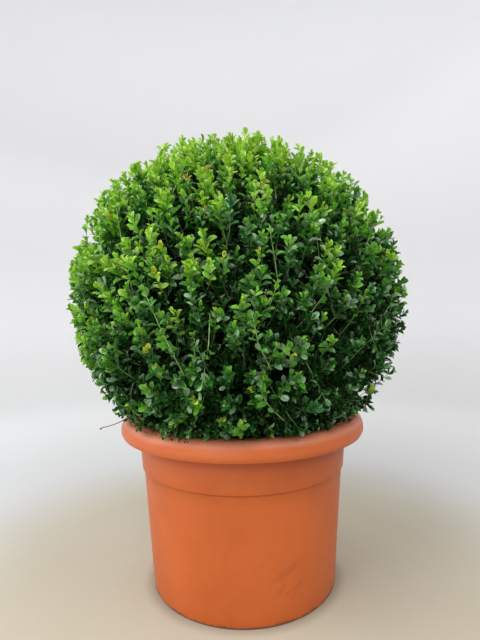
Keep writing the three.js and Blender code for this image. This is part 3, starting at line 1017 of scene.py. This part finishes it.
def shoot_youth_and_light(directions):
    """How young and bright the leaves of each shoot look, more so at the top and the left: partly growth,
    partly painted light.
    """
    across, height = directions[:, 0], directions[:, 2]
    # Brighter at the top and the left, darker low down: partly young growth, partly painted light and shade
    youth_and_light = 0.50 + 0.48 * height - 0.17 * np.maximum(0, -height) - 0.19 * across * np.clip(1 - height, 0, 1)
    youth_and_light = youth_and_light + 0.22 * clouds(directions, 0.045, 9.0)
    return youth_and_light + spread(0.18, len(directions))


def add_leaves(directions, shoots, distances, size, youth_and_light, drop):
    """Leaves of a group of shoots, tinted by the age of shoot and pair and by painted light and shade."""
    places, axes, rows, pairs = leaves_on(shoots, directions, distances, size)
    leaf_youth_and_light = youth_and_light[rows] + TIP_YOUTH * (pairs == 0) - drop * pairs + spread(0.13, len(rows))
    tints = np.searchsorted(YOUTH_AND_LIGHT_LIMITS, leaf_youth_and_light)
    # Sheen tint, most often low at the right: partly paler leaf undersides, partly painted reflection
    low_right = np.clip(0.5 - 0.5 * directions[rows, 2] + 0.25 * directions[rows, 0], 0, 1)
    share = (0.04 + 0.24 * low_right) * np.where(tints == 0, 0.22, 1.0)
    pale_underside_and_sheen = (tints < 5) & (random.random(len(rows)) < share)
    tints[pale_underside_and_sheen] = TINT_NAMES.index("sheen")
    turning = (tints > 3) & (random.random(len(rows)) < 0.009)
    tints[turning] = TINT_NAMES.index("gold")
    leaf_sets.append((places, axes, tints))


# Sprays that stand out at the front: where the tip is, its tint, and the second tint of its older leaves
ACCENTS = [
    ((-0.044, -0.258, 0.740), "rust", "bright"),
    ((-0.075, -0.262, 0.728), "rust", "green"),
    ((-0.012, -0.292, 0.689), "teal", "teal"),
    ((-0.159, -0.258, 0.673), "lime", "fresh"),
    ((-0.119, -0.300, 0.590), "gold", "lime"),
    ((-0.108, -0.298, 0.624), "gold", "bright"),
    ((-0.042, -0.317, 0.598), "lime", "fresh"),
    ((-0.021, -0.317, 0.609), "gold", "bright"),
    ((-0.270, -0.181, 0.603), "lime", "fresh"),
    ((-0.025, -0.213, 0.794), "lime", "lime"),
    ((-0.155, -0.281, 0.606), "lime", "bright"),
    ((-0.135, -0.284, 0.479), "gold", "deep"),
    ((-0.110, -0.300, 0.500), "fresh", "bright"),
    ((0.003, -0.322, 0.548), "lime", "fresh"),
    ((0.022, -0.320, 0.528), "fresh", "fresh"),
    ((-0.065, -0.277, 0.400), "lime", "bright"),
    ((-0.002, -0.258, 0.363), "lime", "bright"),
    ((-0.031, -0.265, 0.374), "gold", "green"),
    ((-0.260, -0.191, 0.490), "lime", "fresh"),
    ((0.088, -0.274, 0.693), "fresh", "fresh"),
    ((0.024, -0.285, 0.708), "lime", "lime"),
    ((0.036, -0.287, 0.714), "rust", "lime"),
    ((0.026, -0.322, 0.612), "gold", "fresh"),
    ((0.128, -0.290, 0.490), "fresh", "green"),
    ((0.110, -0.255, 0.388), "teal", "deep"),
    ((0.213, -0.176, 0.400), "gold", "green"),
    ((0.013, -0.290, 0.423), "gold", "deep"),
]
ACCENT_ROOM = 0.013
ACCENT_LENGTH = 0.06

# Sprays that hang out of the ball, over the rim or past the outline: from, tip and tint
STRAYS = [
    ((0.196, -0.040, 0.380), (0.252, -0.044, 0.338), "green"),
    ((-0.100, -0.150, 0.365), (-0.121, -0.199, 0.333), "fresh"),
    ((0.030, -0.170, 0.365), (0.045, -0.212, 0.337), "lime"),
    ((-0.225, 0.015, 0.610), (-0.334, 0.008, 0.571), "fresh"),
    ((-0.060, 0.000, 0.800), (-0.071, -0.008, 0.879), "bright"),
]

# Long stems that lie over the front: their foot, a point half way, their tip and its tint
RUNNERS = [
    ((-0.081, -0.290, 0.444), (-0.106, -0.306, 0.501), (-0.134, -0.296, 0.564), "bright"),
    ((-0.043, -0.292, 0.530), (-0.047, -0.315, 0.470), (-0.065, -0.280, 0.400), "lime"),
    ((0.041, -0.297, 0.451), (0.018, -0.323, 0.508), (0.021, -0.322, 0.560), "fresh"),
    ((0.063, -0.243, 0.366), (0.037, -0.279, 0.398), (0.029, -0.290, 0.418), "green"),
]
RUNNER_DISTANCES = (0.001, 0.009, 0.022, 0.038, 0.056, 0.076, 0.098)

accent_tips, accent_tints, accent_later_tints = zip(*ACCENTS)
accent_tips = np.array(accent_tips)
CLUMPS = 900
clump_directions = scattered(CLUMPS, -0.80, 1.5)

# Layers of shoots from the surface inwards: how many, the lowest heading, the depth of their tips, how far
# they turn up, their length, how much they leave the dark gaps free, and how far they are drawn into clumps
LAYERS = [
    (2750, -0.745, (0.0, 0.012), 1.0, (0.045, 0.085), 1.0, 0.48),
    (1650, -0.76, (0.016, 0.037), 0.9, (0.04, 0.07), 0.7, 0.15),
    (1200, -0.78, (0.034, 0.072), 0.7, (0.04, 0.07), 0.2, 0.0),
]
# Deeper layers and shoots in the gaps get darker leaves: partly older leaves, partly painted shade
LAYER_AGE_AND_SHADE = (0.05, -0.42, -0.66)
LAYER_DROP = (0.085, 0.07, 0.05)
HOLLOW_SHADE = 9.0

young_shoots = []
old_shoots = []
for number, layer in enumerate(LAYERS):
    directions, shoots, hidden = layer_shoots(*layer)
    clear = ends_clear(shoots)
    if number == 0:
        from_accents = np.linalg.norm(shoots[:, -1, None, :] - accent_tips[None, :, :], axis=2)
        clear &= from_accents.min(axis=1) > ACCENT_ROOM
    directions, shoots, hidden = directions[clear], shoots[clear], hidden[clear]
    youth_and_light = shoot_youth_and_light(directions) + LAYER_AGE_AND_SHADE[number] - HOLLOW_SHADE * hidden
    add_leaves(directions, shoots, PAIR_DISTANCES, LEAF_LENGTH, youth_and_light, LAYER_DROP[number])
    (young_shoots if number == 0 else old_shoots).append(shoots)

directions, shoots = long_shoots(LONG_SHOOTS)
clear = ends_clear(shoots)
directions, shoots = directions[clear], shoots[clear]
add_leaves(directions, shoots, LONG_PAIR_DISTANCES, LONG_SHOOT_LEAF, shoot_youth_and_light(directions) + 0.12, 0.05)
runner_shoots = [shoots]

directions, shoots = fringe_shoots(FRINGE_SHOOTS)
clear = ends_clear(shoots)
directions, shoots = directions[clear], shoots[clear]
add_leaves(directions, shoots, PAIR_DISTANCES[:5], LEAF_LENGTH, shoot_youth_and_light(directions) - 0.05, 0.07)
old_shoots.append(shoots)


def add_placed(shoots, distances, size, tints, later_tints):
    """Leaves of shoots at given places, the first two pairs in one tint and the rest in another."""
    directions = unit(shoots[:, -1] - BALL_CENTRE)
    places, axes, rows, pairs = leaves_on(shoots, directions, distances, size, 0.0)
    first, later = (np.array([TINT_NAMES.index(name) for name in names]) for names in (tints, later_tints))
    leaf_sets.append((places, axes, np.where(pairs < 2, first[rows], later[rows])))


# The sprays that stand out
accent_directions = unit(accent_tips - BALL_CENTRE)
accent_headings = unit(accent_directions * 0.8 + UP + spread(0.25, len(ACCENTS), 3))
accent_shoots = grow(accent_tips, accent_headings, np.full(len(ACCENTS), ACCENT_LENGTH), accent_directions)
add_placed(accent_shoots, PAIR_DISTANCES, ACCENT_LEAF, accent_tints, accent_later_tints)
young_shoots.append(accent_shoots)

*lines, tints = zip(*STRAYS)
starts, tips = np.array(lines)
stray_shoots = bend(starts, (starts + tips) / 2 + 0.006 * UP, tips, SHOOT_STEPS)
add_placed(stray_shoots, PAIR_DISTANCES, STRAY_LEAF, tints, tints)
young_shoots.append(stray_shoots)

*lines, tints = zip(*RUNNERS)
starts, half_ways, tips = np.array(lines)
front_runners = bend(starts, 2 * half_ways - (starts + tips) / 2, tips, SHOOT_STEPS)
add_placed(front_runners, RUNNER_DISTANCES, LONG_SHOOT_LEAF, tints, ["green"] * len(RUNNERS))
runner_shoots.append(front_runners)

# Inside of the ball: old leaves on the branches, near black as painted shade for the dark inside
INNER_LEAVES = 5600
INNER_RING = (0.185, 0.238)
INNER_LENGTH = 0.029
INNER_WIDTH = 0.62
inner_directions = unit(shared_directions(INNER_LEAVES, -0.86) + spread(0.03, INNER_LEAVES, 3))
inner_places = BALL_CENTRE + inner_directions * between(INNER_LEAVES, INNER_RING)[:, None]
inner_along = unit(inner_directions + spread(1.0, INNER_LEAVES, 3))
inner_face = unit(np.cross(inner_along, spread(1.0, INNER_LEAVES, 3)))
inner_across = np.cross(inner_along, inner_face)
inner_length = INNER_LENGTH * (1 + spread(0.2, INNER_LEAVES))
inner_axes = np.stack([INNER_WIDTH * inner_across, inner_along, inner_face], axis=1)
inner_axes = inner_axes * inner_length[:, None, None]
inner_keep = is_clear(inner_places, 0.01) & is_clear(inner_places + inner_axes[:, 1], 0.01)
inner_tints = np.full(INNER_LEAVES, TINT_NAMES.index("hidden"))
leaf_sets.append((inner_places[inner_keep], inner_axes[inner_keep], inner_tints[inner_keep]))


def leaf_piece(name, shape, places, axes, material):
    """Leaves joined into one piece, each on its own tile of the leaf map."""
    piece = joined_mesh(name, *copies(shape, axes, places), smooth=True)
    points, triangles = shape
    ends = np.empty(2 * len(piece.data.edges), np.int32)
    piece.data.edges.foreach_get("vertices", ends)
    on_rib = np.abs(points[:, 0]) < 0.001
    piece.data.edges.foreach_set("use_edge_sharp", on_rib[ends.reshape(-1, 2) % len(points)].all(axis=1))
    tile = np.arange(len(places)) % LEAF_TILES ** 2
    corner = np.stack([tile % LEAF_TILES, tile // LEAF_TILES], axis=1)
    inside = np.stack([points[:, 0] * 0.92 + 0.5, points[:, 1] * 0.92 + 0.04], axis=1)[triangles.ravel()]
    uv = (corner[:, None, :] + inside[None, :, :]) / LEAF_TILES
    layer = piece.data.uv_layers.new(name=LEAF_MAP)
    layer.data.foreach_set("uv", uv.astype(np.float32).ravel())
    return finished(piece, material, "foliage", "foliage_ball")


PLAIN_TINTS = ("shade", "hidden")
leaf_places, leaf_axes, leaf_tints = (np.concatenate(parts) for parts in zip(*leaf_sets))
for number, (tint, *look) in enumerate(TINTS):
    chosen = np.flatnonzero(leaf_tints == number)
    material = leaf_finish(f"{tint}_leaf", *look)
    shape = plain_leaf_shape if tint in PLAIN_TINTS else leaf_shape
    parts = math.ceil(len(chosen) / MOST_LEAVES)
    for part in range(parts):
        some = chosen[part::parts]
        leaf_piece(f"{tint}_leaves_{part + 1}", shape, leaf_places[some], leaf_axes[some], material)


# Twigs


def shoot_tubes(groups, sides=3):
    """Shoots of several groups, through every second point of their paths."""
    paths = np.concatenate(groups)[:, ::2]
    return tubes(paths, tapers(*paths.shape[:2], SHOOT_RADII), sides)


green_bark = shoot_finish("green_shoot_bark", (0.045, 0.10, 0.022), (0.11, 0.17, 0.055))
bark_piece("green_shoots", green_bark, shoot_tubes(young_shoots))
pale_bark = shoot_finish("long_shoot_bark", (0.10, 0.18, 0.055), (0.22, 0.30, 0.12))
bark_piece("long_shoots", pale_bark, shoot_tubes(runner_shoots, 5))
# The twigs' bark is near black: partly old bark, partly painted shade inside the ball
twig_bark = shoot_finish("twig_bark", (0.012, 0.015, 0.007), (0.042, 0.044, 0.021))
bark_piece("twigs", twig_bark, shoot_tubes(old_shoots), limb_tubes(TWIGS, twig_lines))

# A dead twig that hangs out low at the left, with a dried scrap at its end and one half way
DEAD_TWIG = np.array([(-0.140, -0.070, 0.385), (-0.203, -0.100, 0.3435), (-0.249, -0.118, 0.3285)])
DEAD_TWIG_RADII = (0.0011, 0.0007)
dead_middle = 2 * DEAD_TWIG[1] - (DEAD_TWIG[0] + DEAD_TWIG[2]) / 2
dead_path = bend(DEAD_TWIG[:1], dead_middle[None, :], DEAD_TWIG[2:], 14)
SCRAP_AXES = np.array([
    [(0.0010, -0.0010, 0.0040), (-0.0058, -0.0018, -0.0030), (0.0026, -0.0051, -0.0019)],
])
end_scrap = copies(leaf_shape, SCRAP_AXES, DEAD_TWIG[2:] + 0.0004)
middle_scrap = copies(leaf_shape, -0.6 * SCRAP_AXES[:, [1, 0, 2]], dead_path[:, 7])
dead_tube = tubes(dead_path, tapers(1, 14, DEAD_TWIG_RADII), 6)
dead_bark = shoot_finish("dead_bark", (0.055, 0.040, 0.030), (0.13, 0.10, 0.075))
bark_piece("dead_twig", dead_bark, dead_tube, end_scrap, middle_scrap)


# Floor, light and camera

SWEEP_FLAT_RADIUS = 2.0
SWEEP_CURVE = 1.0
SWEEP_BELOW = 0.0005
sweep_profile = [(radius, -SWEEP_BELOW) for radius in (0.5, 1.2, SWEEP_FLAT_RADIUS)]
sweep_profile += arc(SWEEP_FLAT_RADIUS, SWEEP_CURVE - SWEEP_BELOW, SWEEP_CURVE, -math.pi / 2, 0, 10)[1:]
sweep_profile += [(SWEEP_FLAT_RADIUS + SWEEP_CURVE, height) for height in (2.2, 3.2)]
sweep = turned("floor_sweep", sweep_profile, 96, closed=False)
smooth_by_angle(sweep, 40)
sweep.data.materials.append(floor_finish())


def softbox(name, place, target, size, power, colour):
    """A round soft lamp that the camera doesn't see."""
    light = bpy.data.lights.new(name, "AREA")
    light.shape = "DISK"
    light.size = size
    light.energy = power
    light.color = colour
    lamp = bpy.data.objects.new(name, light)
    lamp.location = place
    lamp.rotation_euler = (Vector(target) - Vector(place)).to_track_quat("-Z", "Y").to_euler()
    lamp.visible_camera = False
    bpy.context.scene.collection.objects.link(lamp)


softbox("key", (-1.0, -1.3, 2.6), (0, 0, 0.5), 1.4, 57, (1.0, 0.985, 0.96))
softbox("top", (1.2, -1.1, 2.3), (0, 0, 0.4), 1.4, 34, (1.0, 0.98, 0.95))
softbox("back", (-0.5, 1.6, 2.7), (0, 0, 0.5), 1.8, 30, (0.98, 0.99, 1.0))
softbox("front", (-0.9, -2.1, 0.9), (0, 0, 0.35), 1.5, 17, (1.0, 0.99, 0.98))
softbox("side", (-2.2, -0.2, 1.2), (0, 0, 0.35), 1.5, 24, (0.90, 0.94, 1.0))

SKY_COLOUR = (0.93, 0.96, 1.0, 1.0)
SKY_STRENGTH = 0.37
world = bpy.data.worlds.new("soft_sky")
bpy.context.scene.world = world
world.use_nodes = True
sky = world.node_tree.nodes["Background"]
sky.inputs["Color"].default_value = SKY_COLOUR
sky.inputs["Strength"].default_value = SKY_STRENGTH

CAMERA_PLACE = Vector((-0.0011, -0.9512, 0.5385))
CAMERA_PITCH = 0.0267
CAMERA_ROLL = -0.0162
FOCAL_PIXELS = 470
PICTURE_HEIGHT_PIXELS = 640
SENSOR = 36

camera_data = bpy.data.cameras.new("camera")
camera_data.sensor_width = SENSOR
camera_data.lens = FOCAL_PIXELS * SENSOR / PICTURE_HEIGHT_PIXELS
camera_data.clip_start = 0.01
camera = bpy.data.objects.new("camera", camera_data)
camera.matrix_world = (
    Matrix.Translation(CAMERA_PLACE)
    @ Matrix.Rotation(math.pi / 2 - CAMERA_PITCH, 4, "X")
    @ Matrix.Rotation(CAMERA_ROLL, 4, "Z")
)
bpy.context.scene.collection.objects.link(camera)
bpy.context.scene.camera = camera

bpy.context.scene.view_settings.view_transform = "Standard"
